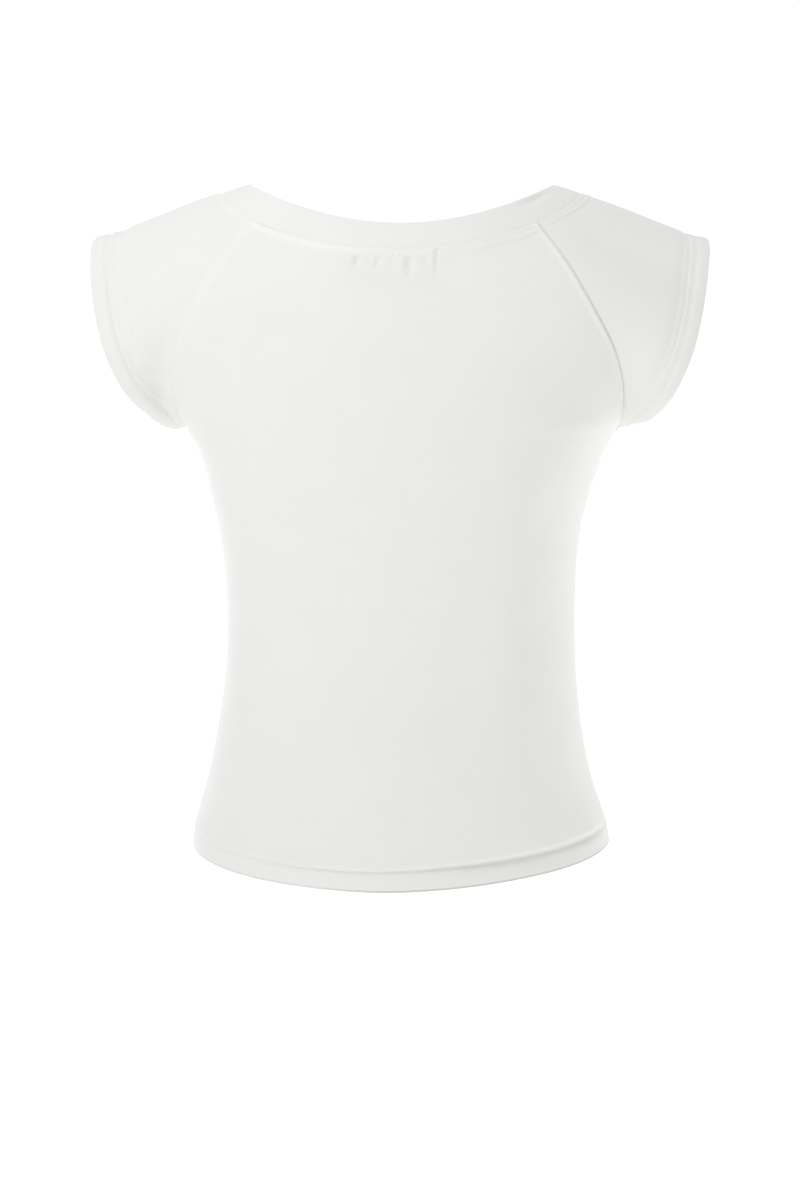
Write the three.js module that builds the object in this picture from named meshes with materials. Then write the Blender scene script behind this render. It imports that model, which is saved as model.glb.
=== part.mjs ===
// A fitted white jersey T-shirt with raglan cap sleeves and a wide scoop neck, filled out as when worn.
//
// Millimetres. +Z is up, the shirt's front faces -Y and the wearer's left is +X. The origin is midway between
// the two shoulders, level with the highest points of the neckline, where the wearer's shoulders carry the shirt.
//
// Each cut piece is a wall of cloth on its own grid of points: a front, a back, two sleeves, a doubled neckband
// and a small blank neck label. Bottom and sleeve hems are turned up, so the wall is two layers thick there.
// Every grid runs so that its columns' direction crossed with its rows' direction points out of the shirt.
import * as THREE from "three";

// ---------------------------------------------------------------- driving sizes
const CLOTH = 1.2; // one layer of jersey
const BAND_THICK = 2.2; // the neckband, folded double
const HEM_THICK = 2.2; // cloth and its turned-up hem
const SEAM_GAP = 0.3; // between two pieces along a seam
const HEM_DEPTH = 17; // height of the turned-up bottom hem
const CUFF_DEPTH = 15; // height of the turned-up sleeve hem
const CUFF_LIMIT = 0.7; // the most of the sleeve's length that its hem takes, at the underarm
const STEP_RUN = 1.2; // length over which the wall thickens at a hem's top edge

// Neck seam: an oval in plan, dipping to the back and scooping to the front.
const NECK = {
  halfWidth: 126.5,
  back: 75,
  front: 85,
  shoulderZ: -5,
  backDrop: 35.3,
  frontDrop: 113,
  backPower: 1.4,
  frontPower: 1.4,
};
// Neckline: the neckband's upper edge, in the same terms.
const NECKLINE = {
  halfWidth: 107.5,
  back: 67,
  front: 78,
  shoulderZ: 0,
  backDrop: 23.2,
  frontDrop: 99,
  backPower: 2.1,
  frontPower: 1.7,
};
const RAGLAN_TOP = { back: 98, front: 109 }; // the raglan seams' upper ends, from the middle

// Yoke rows below the neck seam, down to the underarm. edge is the raglan seam and mid the middle of the back or
// front. The section between them is part of a superellipse: square is its power, and cut is how high up it stops,
// from 1, where it hardly bends, to 0, where it turns all the way to the side.
const BACK_YOKE = [
  { t: 0.2, edgeX: 120.5, edgeY: 62, edgeZ: -52, midY: 83, midZ: -66, square: 2, cut: 0.69 },
  { t: 0.4, edgeX: 139, edgeY: 65, edgeZ: -83, midY: 89, midZ: -93, square: 2, cut: 0.71 },
  { t: 0.6, edgeX: 153, edgeY: 56, edgeZ: -112, midY: 92.5, midZ: -119, square: 2.05, cut: 0.6 },
  { t: 0.8, edgeX: 158.5, edgeY: 35, edgeZ: -142, midY: 94, midZ: -145, square: 2.15, cut: 0.38 },
  { t: 0.93, edgeX: 156.5, edgeY: 13, edgeZ: -162, midY: 93.5, midZ: -164, square: 2.2, cut: 0.13 },
  { t: 1, edgeX: 152.5, edgeY: 0, edgeZ: -170, midY: 93, midZ: -171, square: 2.2, cut: 0 },
];
const FRONT_YOKE = [
  { t: 0.2, edgeX: 123, edgeY: 54, edgeZ: -70, midY: 92, midZ: -129, square: 2, cut: 0.6 },
  { t: 0.4, edgeX: 136, edgeY: 59, edgeZ: -94, midY: 98, midZ: -140, square: 2, cut: 0.62 },
  { t: 0.6, edgeX: 147, edgeY: 55, edgeZ: -118, midY: 103.5, midZ: -151, square: 2.05, cut: 0.55 },
  { t: 0.8, edgeX: 154, edgeY: 37, edgeZ: -143, midY: 108, midZ: -162, square: 2.15, cut: 0.36 },
  { t: 0.93, edgeX: 155.5, edgeY: 15, edgeZ: -162, midY: 111, midZ: -169, square: 2.2, cut: 0.14 },
  { t: 1, edgeX: 152.5, edgeY: 0, edgeZ: -170, midY: 112, midZ: -172, square: 2.2, cut: 0 },
];
// Torso rows, from the underarm to the hem's edge.
const TORSO = [
  { z: -170, half: 152.5, back: 93, front: 112, square: 2.2 },
  { z: -185, half: 144.5, back: 92.5, front: 115, square: 2.18 },
  { z: -208, half: 137, back: 90, front: 116, square: 2.14 },
  { z: -242, half: 129.2, back: 84, front: 112, square: 2.08 },
  { z: -300, half: 124.6, back: 76, front: 103.5, square: 2 },
  { z: -345, half: 125.8, back: 77.5, front: 101, square: 1.97 },
  { z: -394, half: 132.5, back: 87, front: 102, square: 1.94 },
  { z: -430, half: 141, back: 92.5, front: 105, square: 1.92 },
  { z: -460, half: 149.3, back: 94, front: 107.5, square: 1.9 },
  { z: -474, half: 151.3, back: 93.5, front: 108.5, square: 1.9 },
];
const HEM_DIP = { back: 17.3, front: 9.3 }; // how far the hem's middle hangs below its sides
const HEM_LIFT = { height: 5.5, run: 110 }; // the hem rides up on the wearer's right, rising from one run to the other

// Sleeve opening, from the underarm (share 0) to the shoulder tip (share 1); the front half has its own depth.
const CUFF = [
  { share: 0, x: 164.5, y: 0, z: -169.5 },
  { share: 0.17, x: 177.5, y: 25, z: -161.5 },
  { share: 0.34, x: 193.6, y: 41, z: -143.3 },
  { share: 0.5, x: 206, y: 46, z: -116 },
  { share: 0.66, x: 212.8, y: 41.5, z: -88 },
  { share: 0.82, x: 216.5, y: 27, z: -61 },
  { share: 0.93, x: 217.8, y: 13, z: -44 },
  { share: 1, x: 217, y: 0, z: -36.5 },
];
const CUFF_FRONT = 0.93; // the front half's depth against the back's
const RAGLAN_SHARE = 0.86; // how much of the opening's half the raglan seam faces; the rest faces the neck
// How the sleeve's cloth runs from seam to opening, at shares of the way round from underarm to shoulder: follow is
// how far it sets out along the body's own surface, full how much it stands out halfway, and hollow how deep it dips
// before its hem, which flares.
const SLEEVE_RUN = [
  { share: 0, follow: 0, full: 0.3, hollow: 0 },
  { share: 0.2, follow: 0.6, full: 1.8, hollow: 0 },
  { share: 0.45, follow: 0.95, full: 2.5, hollow: 0 },
  { share: 0.7, follow: 1, full: 1.5, hollow: 0.8 },
  { share: 0.86, follow: 1, full: 0.6, hollow: 2 },
  { share: 1, follow: 0, full: 2.6, hollow: 2.5 },
];

// Neck label, inside the back, sewn in below the neckband.
const LABEL = { width: 66, height: 26, thick: 1, gap: 0.5, below: 1.5 };

// Grid steps.
const ACROSS = 24; // body, side to side
const YOKE_ROWS = 10; // neck seam to underarm
const TORSO_ROWS = 11; // underarm to hem
const RIDGE_STEPS = 3; // neck seam, raglan to shoulder, on each side of the shoulder
const SLEEVE_ROWS = 5; // raglan seam to the sleeve's hem
const BAND_ROWS = 3;
const LABEL_ACROSS = 8;
const LABEL_ROWS = 3;

// ---------------------------------------------------------------- small tools
const linspace = (a, b, steps) => Array.from({ length: steps + 1 }, (_, i) => a + ((b - a) * i) / steps);
const mix = (a, b, f) => a + (b - a) * f;

// The value of one column at a place between a table's rows, on a smooth curve through them.
function smooth(rows, along, column, at) {
  const last = rows.length - 1;
  const sign = Math.sign(rows[last][along] - rows[0][along]);
  let i = 0;
  while (i < last - 1 && sign * (at - rows[i + 1][along]) > 0) i++;
  const slope = (k) => (rows[k + 1][column] - rows[k][column]) / (rows[k + 1][along] - rows[k][along]);
  const tangent = (k) => {
    if (k === 0) return slope(0);
    if (k === last) return slope(last - 1);
    const before = rows[k][along] - rows[k - 1][along];
    const after = rows[k + 1][along] - rows[k][along];
    return (slope(k - 1) * after + slope(k) * before) / (before + after);
  };
  const run = rows[i + 1][along] - rows[i][along];
  const f = (at - rows[i][along]) / run;
  const g = 1 - f;
  return (
    g * g * (1 + 2 * f) * rows[i][column] +
    f * f * (3 - 2 * f) * rows[i + 1][column] +
    run * (f * g * g * tangent(i) - f * f * g * tangent(i + 1))
  );
}

// ---------------------------------------------------------------- the shirt's form
// A point of a neck oval at an angle: 0 is the wearer's left shoulder, 90 degrees the middle of the back.
function neckPoint(oval, angle) {
  const out = Math.sin(angle);
  const depth = Math.abs(out);
  const drop = out >= 0 ? oval.backDrop * depth ** oval.backPower : oval.frontDrop * depth ** oval.frontPower;
  return new THREE.Vector3(
    oval.halfWidth * Math.cos(angle),
    (out >= 0 ? oval.back : oval.front) * out,
    oval.shoulderZ - drop,
  );
}

// The angle round the neck seam, from the shoulder, at which a raglan seam starts.
const raglanAngle = (side) => Math.acos((side > 0 ? RAGLAN_TOP.back : RAGLAN_TOP.front) / NECK.halfWidth);

// The yoke's rows with the neck seam as their first. side is 1 for the back and -1 for the front.
function yokeTable(side) {
  const edge = neckPoint(NECK, side * raglanAngle(side));
  const mid = neckPoint(NECK, (side * Math.PI) / 2);
  const neck = {
    t: 0,
    edgeX: edge.x,
    edgeY: Math.abs(edge.y),
    edgeZ: edge.z,
    midY: Math.abs(mid.y),
    midZ: mid.z,
    square: 2,
    cut: edge.y / mid.y,
  };
  return [neck, ...(side > 0 ? BACK_YOKE : FRONT_YOKE)];
}
const YOKE = { back: yokeTable(1), front: yokeTable(-1) };
const yokeOf = (side) => (side > 0 ? YOKE.back : YOKE.front);

// One row of the yoke, t of the way down from the neck seam. Its dip takes the neck's own curve at the top.
function yokeRow(side, t) {
  const columns = ["edgeX", "edgeY", "edgeZ", "midY", "midZ", "square", "cut"];
  const row = Object.fromEntries(columns.map((column) => [column, smooth(yokeOf(side), "t", column, t)]));
  return { ...row, power: mix(side > 0 ? NECK.backPower : NECK.frontPower, 1, t) };
}

// How far down the torso a height is, from 0 at the underarm to 1 at the hem, and how much the hem's lift raises it.
const torsoShare = (z) => (z - TORSO[0].z) / (TORSO.at(-1).z - TORSO[0].z);
const liftAt = (x, z) => HEM_LIFT.height * torsoShare(z) ** 2 * THREE.MathUtils.smoothstep(-x, -HEM_LIFT.run, HEM_LIFT.run);

// One row of the torso at a height.
function torsoRow(side, z) {
  const underarm = yokeOf(side).at(-1);
  const hemDip = side > 0 ? HEM_DIP.back : HEM_DIP.front;
  const dip = mix(underarm.edgeZ - underarm.midZ, hemDip, torsoShare(z));
  return {
    edgeX: smooth(TORSO, "z", "half", z),
    edgeY: 0,
    edgeZ: z,
    midY: smooth(TORSO, "z", side > 0 ? "back" : "front", z),
    midZ: z - dip,
    square: smooth(TORSO, "z", "square", z),
    cut: 0,
    power: 1,
  };
}

// A row's section is the part of a superellipse above its cut, spread between the edge and the middle. The share of
// the superellipse's half-width that it takes, and its points at an angle, 0 at the middle.
const rowReach = ({ cut, square }) => (1 - cut ** square) ** (1 / square);
function rowPoint(row, side, angle) {
  const { cut, square, power } = row;
  const s = Math.sin(angle);
  const k = Math.max(0, 1 - Math.abs(s) ** square) ** (1 / square);
  const drop = (k ** power - cut ** power) / (1 - cut ** power);
  return new THREE.Vector3(
    (row.edgeX * s) / rowReach(row),
    side * mix(row.edgeY, row.midY, (k - cut) / (1 - cut)),
    mix(row.edgeZ, row.midZ, drop),
  );
}
function rowAcross(row, side) {
  const widest = side * Math.asin(rowReach(row));
  return linspace(-widest, widest, ACROSS).map((angle) => rowPoint(row, side, angle));
}

const RAGLAN_STEPS = linspace(0, 1, YOKE_ROWS);

// Heights of the torso's rows below the underarm; the last three are the turned-up hem.
function torsoHeights() {
  const bottom = TORSO.at(-1).z;
  const hemTop = bottom + HEM_DEPTH;
  const cloth = linspace(TORSO[0].z, hemTop + STEP_RUN, TORSO_ROWS).slice(1);
  return [...cloth, hemTop, mix(hemTop, bottom, 0.5), bottom];
}

// The grid of a body panel, from the neck seam down to the hem.
function bodyGrid(side) {
  const yoke = RAGLAN_STEPS.map((t) => rowAcross(yokeRow(side, t), side));
  const torso = torsoHeights().map((z) => rowAcross(torsoRow(side, z), side).map((p) => p.setZ(p.z + liftAt(p.x, z))));
  return [...yoke, ...torso];
}

// The sleeve's inner edge, from the underarm up the back raglan seam, over the shoulder and down the front one.
// share says how far round its half of the opening each point is, and body is the panel's own normal at the nearest
// point of the raglan seam.
function sleeveSeam(bodies) {
  const edgeOf = (side, row) => {
    const { grid, normals } = side > 0 ? bodies.back : bodies.front;
    const edge = side > 0 ? ACROSS : 0;
    return { at: grid[row][edge], body: normals[row][edge] };
  };
  const raglan = (side, steps) =>
    steps.map((row) => ({ ...edgeOf(side, row), share: RAGLAN_SHARE * (1 - row / YOKE_ROWS), side }));
  const neck = (side, steps) =>
    steps.map((f) => ({
      at: neckPoint(NECK, side * f * raglanAngle(side)),
      body: edgeOf(side, 0).body,
      share: mix(1, RAGLAN_SHARE, f),
      side,
    }));
  const down = linspace(0, YOKE_ROWS, YOKE_ROWS);
  return [
    ...raglan(1, [...down].reverse()),
    ...neck(1, linspace(1, 0, RIDGE_STEPS).slice(1)),
    ...neck(-1, linspace(0, 1, RIDGE_STEPS).slice(1, -1)),
    ...raglan(-1, down.slice(0, -1)),
  ];
}

// A point of the sleeve's opening.
function cuffPoint(share, side) {
  const value = (column) => smooth(CUFF, "share", column, share);
  return new THREE.Vector3(value("x"), value("y") * (side > 0 ? 1 : -CUFF_FRONT), value("z"));
}

// Shares of the way from the sleeve's seam to its opening; the last three are its turned-up hem.
function sleeveShares(length) {
  const hem = 1 - Math.min(CUFF_DEPTH / length, CUFF_LIMIT);
  return [...linspace(0, hem - STEP_RUN / length, SLEEVE_ROWS), hem, mix(hem, 1, 0.5), 1];
}

// The grid of the wearer's left sleeve: columns run round it, closed at the underarm, and rows from seam to opening.
// Each column is a cubic that leaves the seam along the body's surface, as far as it follows it, and reaches the
// opening along the straight line between its ends. It then stands out halfway and dips two thirds of the way.
function sleeveGrid(bodies) {
  const columns = sleeveSeam(bodies).map(({ at, body, share, side }) => {
    const end = cuffPoint(share, side);
    const straight = end.clone().sub(at);
    const away = straight.dot(body) * smooth(SLEEVE_RUN, "share", "follow", share);
    const shares = sleeveShares(straight.length());
    const points = shares.map((v) => at.clone().lerp(end, v).addScaledVector(body, -away * v * (1 - v) ** 2));
    const run = (column) => smooth(SLEEVE_RUN, "share", column, share);
    const out = shares.map((v) => run("full") * 4 * v * (1 - v) - run("hollow") * 6.75 * v * v * (1 - v));
    return { points, out };
  });
  const plain = columns[0].points.map((_, i) => columns.map((column) => column.points[i]));
  const normals = gridNormals(plain, true);
  return plain.map((row, i) => row.map((p, j) => p.clone().addScaledVector(normals[i][j], columns[j].out[i])));
}

// Angles round the neck seam, at the same points as the edges of the panels and sleeves.
function neckAngles() {
  const over = (side) => {
    const end = Math.PI / 2 - raglanAngle(side);
    return linspace(end, -end, ACROSS).map((angle) => (side * Math.PI) / 2 - angle);
  };
  const back = raglanAngle(1);
  const front = raglanAngle(-1);
  const left = [...linspace(-front, 0, RIDGE_STEPS), ...linspace(0, back, RIDGE_STEPS).slice(1)].slice(1, -1);
  const right = left.map((angle) => Math.PI - angle).reverse();
  return [...left, ...over(1), ...right, ...over(-1)];
}

// The neckband's grid, from the neck seam up to the neckline.
function bandGrid() {
  const angles = neckAngles();
  return linspace(0, 1, BAND_ROWS).map((f) =>
    angles.map((angle) => neckPoint(NECK, angle).lerp(neckPoint(NECKLINE, angle), f)),
  );
}

// The label's grid: points of the back panel from just below the neck seam.
function labelGrid() {
  const [neck, next] = YOKE.back;
  const perMillimetre = next.t / Math.hypot(next.midY - neck.midY, next.midZ - neck.midZ);
  return linspace(LABEL.below, LABEL.below + LABEL.height, LABEL_ROWS).map((down) => {
    const row = yokeRow(1, down * perMillimetre);
    const end = Math.asin((LABEL.width / 2 / row.edgeX) * rowReach(row));
    return linspace(-end, end, LABEL_ACROSS).map((angle) => rowPoint(row, 1, angle));
  });
}

const mirrored = (grid) => grid.map((row) => row.map((p) => new THREE.Vector3(-p.x, p.y, p.z)).reverse());

// ---------------------------------------------------------------- walls of cloth
// Normals of a grid of points, from its columns and rows. closed joins each row's end to its start.
function gridNormals(grid, closed) {
  const rows = grid.length;
  const columns = grid[0].length;
  const wrap = (j) => (closed ? (j + columns) % columns : Math.min(Math.max(j, 0), columns - 1));
  return grid.map((row, i) =>
    row.map((_, j) => {
      const along = grid[i][wrap(j + 1)].clone().sub(grid[i][wrap(j - 1)]);
      const down = grid[Math.min(i + 1, rows - 1)][j].clone().sub(grid[Math.max(i - 1, 0)][j]);
      return along.cross(down).normalize();
    }),
  );
}

// The rims of a grid as loops of [row, column], each with the cloth on its left seen from outside.
function rimsOf(grid, closed) {
  const lastRow = grid.length - 1;
  const columns = grid[0].map((_, j) => j);
  const top = columns.map((j) => [0, j]);
  const bottom = columns.map((j) => [lastRow, j]).reverse();
  if (closed) return [top, bottom];
  const sideRows = grid.map((_, i) => i).slice(1, -1);
  const end = columns.length - 1;
  return [[...top, ...sideRows.map((i) => [i, end]), ...bottom, ...sideRows.map((i) => [i, 0]).reverse()]];
}

// A piece of cloth before it gets its wall: outer and inner are how far its two faces lie from its grid, row by row,
// and sewn says whether its rims leave room for a seam.
function piece(name, grid, { closed = false, outer, inner, sewn = true }) {
  return { name, grid, closed, outer, inner, sewn, normals: gridNormals(grid, closed) };
}

// Pieces that meet at a seam share one normal at each of its points, the mean of their own.
function shareSeamNormals(pieces) {
  const edges = pieces.flatMap(({ grid, closed, normals }) =>
    rimsOf(grid, closed)
      .flat()
      .map(([i, j]) => ({ at: grid[i][j], normal: normals[i][j], own: normals[i][j].clone() })),
  );
  for (const edge of edges) {
    const met = edges.filter((other) => other.at.distanceTo(edge.at) < SEAM_GAP / 10);
    edge.normal.copy(met.reduce((sum, other) => sum.add(other.own), new THREE.Vector3()).normalize());
  }
}

// How far a rim's point moves into its piece, so that each of its two edges moves in by its own amount.
function mitre(before, moveBefore, after, moveAfter) {
  const turn = before.dot(after);
  if (moveBefore === moveAfter) return before.clone().add(after).multiplyScalar(moveBefore / (1 + turn));
  const square = 1 - turn * turn;
  return before
    .clone()
    .multiplyScalar((moveBefore - moveAfter * turn) / square)
    .addScaledVector(after, (moveAfter - moveBefore * turn) / square);
}

// The grid with its sewn rims moved in by half a seam's gap. The last row is left where it is: a hem, or the
// neckline, is sewn to nothing.
function trimmed({ grid, closed, normals, sewn }) {
  const result = grid.map((row) => row.map((p) => p.clone()));
  if (!sewn) return result;
  const last = grid.length - 1;
  for (const rim of rimsOf(grid, closed)) {
    rim.forEach(([i, j], k) => {
      const [iBefore, jBefore] = rim.at(k - 1);
      const [iAfter, jAfter] = rim[(k + 1) % rim.length];
      const inward = (a, b) => normals[i][j].clone().cross(b.clone().sub(a)).normalize();
      const gap = (other) => (i === last && other === last ? 0 : SEAM_GAP / 2);
      const before = inward(grid[iBefore][jBefore], grid[i][j]);
      const after = inward(grid[i][j], grid[iAfter][jAfter]);
      result[i][j].add(mitre(before, gap(iBefore), after, gap(iAfter)));
    });
  }
  return result;
}

// The closed wall of a piece: an outer sheet, an inner sheet, and a strip round each rim. Each four-sided face is
// split along its shorter diagonal.
function wallGeometry(cloth) {
  const { closed, normals, outer, inner } = cloth;
  const grid = trimmed(cloth);
  const rows = grid.length;
  const columns = grid[0].length;
  const sheet = (offsets, sign) =>
    grid.flatMap((row, i) => row.map((p, j) => p.clone().addScaledVector(normals[i][j], sign * offsets[i])));
  const points = [...sheet(outer, 1), ...sheet(inner, -1)];
  const outside = (i, j) => i * columns + j;
  const inside = (i, j) => (rows + i) * columns + j;
  const triangles = [];
  const quad = (a, b, c, d) => {
    const across = points[a].distanceTo(points[c]) <= points[b].distanceTo(points[d]);
    triangles.push(...(across ? [a, b, c, a, c, d] : [b, c, d, b, d, a]));
  };
  for (let i = 0; i < rows - 1; i++) {
    for (let j = 0; j < (closed ? columns : columns - 1); j++) {
      const next = (j + 1) % columns;
      quad(outside(i, j), outside(i, next), outside(i + 1, next), outside(i + 1, j));
      quad(inside(i, next), inside(i, j), inside(i + 1, j), inside(i + 1, next));
    }
  }
  for (const rim of rimsOf(grid, closed)) {
    rim.forEach((from, k) => {
      const to = rim[(k + 1) % rim.length];
      quad(outside(...to), outside(...from), inside(...from), inside(...to));
    });
  }
  const geometry = new THREE.BufferGeometry();
  geometry.setAttribute("position", new THREE.Float32BufferAttribute(points.flatMap((p) => p.toArray()), 3));
  geometry.setIndex(triangles);
  geometry.computeVertexNormals();
  return geometry;
}

// ---------------------------------------------------------------- the pieces
// Distances of the two faces from the grid, row by row: single cloth, then the last three rows turned up inside.
function hemmedFaces(rows) {
  const single = CLOTH / 2;
  return {
    outer: Array(rows).fill(single),
    inner: linspace(1, rows, rows - 1).map((row) => (row > rows - 3 ? HEM_THICK - single : single)),
  };
}
function evenFaces(rows, outer, inner) {
  return { outer: Array(rows).fill(outer), inner: Array(rows).fill(inner) };
}

const backGrid = bodyGrid(1);
const frontGrid = bodyGrid(-1);
const leftGrid = sleeveGrid({
  back: { grid: backGrid, normals: gridNormals(backGrid, false) },
  front: { grid: frontGrid, normals: gridNormals(frontGrid, false) },
});
const neckbandGrid = bandGrid();
const tapeGrid = labelGrid();
const tapeStart = -(CLOTH / 2 + LABEL.gap);

const sewnPieces = [
  piece("back_panel", backGrid, hemmedFaces(backGrid.length)),
  piece("front_panel", frontGrid, hemmedFaces(frontGrid.length)),
  piece("sleeve_left", leftGrid, { closed: true, ...hemmedFaces(leftGrid.length) }),
  piece("sleeve_right", mirrored(leftGrid), { closed: true, ...hemmedFaces(leftGrid.length) }),
  piece("neckband", neckbandGrid, {
    closed: true,
    ...evenFaces(neckbandGrid.length, BAND_THICK / 2, BAND_THICK / 2),
  }),
];
shareSeamNormals(sewnPieces);
const label = piece("neck_label", tapeGrid, {
  sewn: false,
  ...evenFaces(tapeGrid.length, tapeStart, LABEL.thick - tapeStart),
});

const jersey = { color: 0xeeefec, roughness: 0.9, metalness: 0 };
const FINISHES = {
  back_panel: jersey,
  front_panel: jersey,
  sleeve_left: jersey,
  sleeve_right: jersey,
  neckband: { ...jersey, roughness: 0.92 },
  neck_label: { color: 0xe4e6ea, roughness: 0.6, metalness: 0 },
};

const shirt = new THREE.Group();
shirt.name = "raglan_t_shirt";
for (const cloth of [...sewnPieces, label]) {
  const mesh = new THREE.Mesh(wallGeometry(cloth), new THREE.MeshStandardMaterial(FINISHES[cloth.name]));
  mesh.name = cloth.name;
  shirt.add(mesh);
}

export default shirt;
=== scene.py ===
"""A fitted white jersey T-shirt with raglan cap sleeves and a wide scoop neck, filled out as when worn.

Sizes are in millimetres up to the point where a mesh is made, which is in metres, as the frame is. +Z is
up, the front faces -Y and the wearer's left is +X. The origin is midway between the shoulders, level with
the highest points of the neckline. Every grid of points runs so that its columns' direction crossed with
its rows' direction points out of the shirt.
"""

import bpy
import numpy as np
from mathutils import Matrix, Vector


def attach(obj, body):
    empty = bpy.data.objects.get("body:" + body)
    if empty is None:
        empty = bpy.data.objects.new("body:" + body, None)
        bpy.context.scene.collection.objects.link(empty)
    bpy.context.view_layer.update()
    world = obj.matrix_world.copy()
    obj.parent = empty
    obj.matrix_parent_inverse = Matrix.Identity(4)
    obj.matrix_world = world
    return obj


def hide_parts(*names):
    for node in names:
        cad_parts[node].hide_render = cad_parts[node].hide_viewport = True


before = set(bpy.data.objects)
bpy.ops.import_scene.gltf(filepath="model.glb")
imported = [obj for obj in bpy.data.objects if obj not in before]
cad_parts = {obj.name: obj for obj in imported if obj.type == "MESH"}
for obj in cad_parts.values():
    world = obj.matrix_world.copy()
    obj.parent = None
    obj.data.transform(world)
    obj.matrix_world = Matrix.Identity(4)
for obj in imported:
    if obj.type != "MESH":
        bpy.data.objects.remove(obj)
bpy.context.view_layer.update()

MM = 0.001
BACK = 1
FRONT = -1


# ----------------------------------- the cut's driving sizes
def table(columns, *rows):
    """Named columns of numbers from rows written out one below the other."""
    return dict(zip(columns, np.array(rows, float).T))


NECK_SEAM = dict(half_width=126.5, back=75, front=85, shoulder_z=-5, back_drop=35.3, front_drop=113,
                 back_power=1.4, front_power=1.4, slant=0)
NECKLINE = dict(half_width=107.5, back=67, front=78, shoulder_z=1, back_drop=25.2, front_drop=99,
                back_power=2.1, front_power=1.7, slant=2.4)
RAGLAN_TOP = {BACK: 98, FRONT: 109}  # where the raglan seams start on the neck seam, from the middle

YOKE_COLUMNS = ("t", "edge_x", "edge_y", "edge_z", "mid_y", "mid_z", "square", "cut")
YOKE_ROWS = {
    BACK: (
        (0.2, 120.5, 62, -52, 83, -66, 2, 0.69),
        (0.4, 139, 65, -83, 89, -93, 2, 0.71),
        (0.6, 153, 56, -112, 92.5, -119, 2.05, 0.6),
        (0.8, 158.5, 35, -142, 94, -145, 2.15, 0.38),
        (0.93, 156.5, 13, -162, 93.5, -164, 2.2, 0.13),
        (1, 152.5, 0, -170, 93, -171, 2.2, 0),
    ),
    FRONT: (
        (0.2, 123, 54, -70, 92, -129, 2, 0.6),
        (0.4, 136, 59, -94, 98, -140, 2, 0.62),
        (0.6, 147, 55, -118, 103.5, -151, 2.05, 0.55),
        (0.8, 154, 37, -143, 108, -162, 2.15, 0.36),
        (0.93, 155.5, 15, -162, 111, -169, 2.2, 0.14),
        (1, 152.5, 0, -170, 112, -172, 2.2, 0),
    ),
}
TORSO = table(
    ("z", "half", "back", "front", "square"),
    (-170, 152.5, 93, 112, 2.2),
    (-185, 144.5, 92.5, 115, 2.18),
    (-208, 137, 90, 116, 2.14),
    (-242, 129.2, 84, 112, 2.08),
    (-300, 124.6, 76, 103.5, 2),
    (-345, 125.8, 77.5, 101, 1.97),
    (-394, 132.5, 87, 102, 1.94),
    (-430, 141, 92.5, 105, 1.92),
    (-460, 149.3, 94, 107.5, 1.9),
    (-474, 151.3, 93.5, 108.5, 1.9),
)
HEM_DIP = {BACK: 17.3, FRONT: 9.3}
HEM_LIFT = dict(height=5.5, run=110)
HIP_TRIM = dict(deep=2.2, z=-425, long=34, x0=60, x1=140)  # the right side is straighter above the hem
HEM_TUCK = dict(share=0.17, top=-372, x0=20, x1=-110)  # the back's hem swings in on the wearer's right
SWAY = table(  # how far the body hangs towards the wearer's left, and how much its hem tips
    ("z", "x", "tip"),
    (-168, 0, 0),
    (-200, 0.6, 0),
    (-228, 1.5, 0),
    (-252, 1.3, 0),
    (-285, 0.6, 0),
    (-330, 0.4, 0),
    (-385, 1.1, 0),
    (-420, 0.5, 0.6),
    (-440, 0.4, 1.2),
    (-480, 0.4, 1.5),
)
HEM_TIP = dict(half_wave=150, right=1.4, run=70)  # the tip's wave along x, and its factor on the right
UNDERARM_Z, HEM_Z = TORSO["z"][0], TORSO["z"][-1]

CUFF = table(
    ("share", "x", "y", "z"),
    (0, 164.5, 0, -169.5),
    (0.17, 177.5, 25, -161.5),
    (0.34, 193.6, 41, -143.3),
    (0.5, 206, 46, -116),
    (0.66, 212.8, 41.5, -88),
    (0.82, 216.5, 27, -61),
    (0.93, 217.8, 13, -41),
    (1, 217, 0, -36.5),
)
CUFF_DEPTH, CUFF_LIMIT, CUFF_FRONT = 15, 0.7, 0.93
RAGLAN_SHARE = 0.86
SLEEVE_RUN = table(
    ("share", "follow", "full", "hollow"),
    (0, 0, 0.3, 0),
    (0.2, 0.6, 1.8, 0),
    (0.45, 0.95, 2.5, 0),
    (0.7, 1, 1.5, 0.8),
    (0.86, 1, 0.6, 2),
    (1, 0, 2.6, 2.5),
)
LABEL = dict(width=66, height=26, below=1.5, inside=1.1, thick=0.4)

CLOTH_OUT, CLOTH_IN = 0.6, 0.25  # how far the cloth's two faces lie from its middle
HEM_IN = 1.5  # the same for the inner face of a turned-up hem
FOLD = 1  # radius of the turned-up edge, which leaves a tenth of a millimetre between its two faces
NEEDLE, HEM_DEEP = 13.5, 17  # the bottom hem's line of stitches and its raw edge inside, above its edge
# Each sleeve's own: the side it is mirrored to; how far from the cuff's edge its line of stitches and the
# raw edge inside it lie; how deep that line is pressed; how far from the edge the sleeve is drawn in; and
# how sharply the allowance shows on its neck seam.
SLEEVE_OWN = {
    "left": dict(hand=1, needle=11.8, raw=15.3, pressed=0.8, drawn=21, sharp=0.2),
    "right": dict(hand=-1, needle=9.5, raw=13, pressed=0.45, drawn=16.5, sharp=1),
}
EDGE_HEIGHT = table(  # how far the allowance lifts a panel beside its raglan seam, and then its side seam
    ("down", "height"),
    (0, 0.9),
    (0.25, 1.0),
    (0.5, 0.9),
    (0.75, 0.4),
    (1.05, 0.2),
    (2, 0.2),
)


# ----------------------------------------------- small tools
def mix(a, b, f):
    """a where f is 0, b where it is 1."""
    return a + (b - a) * f


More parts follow.
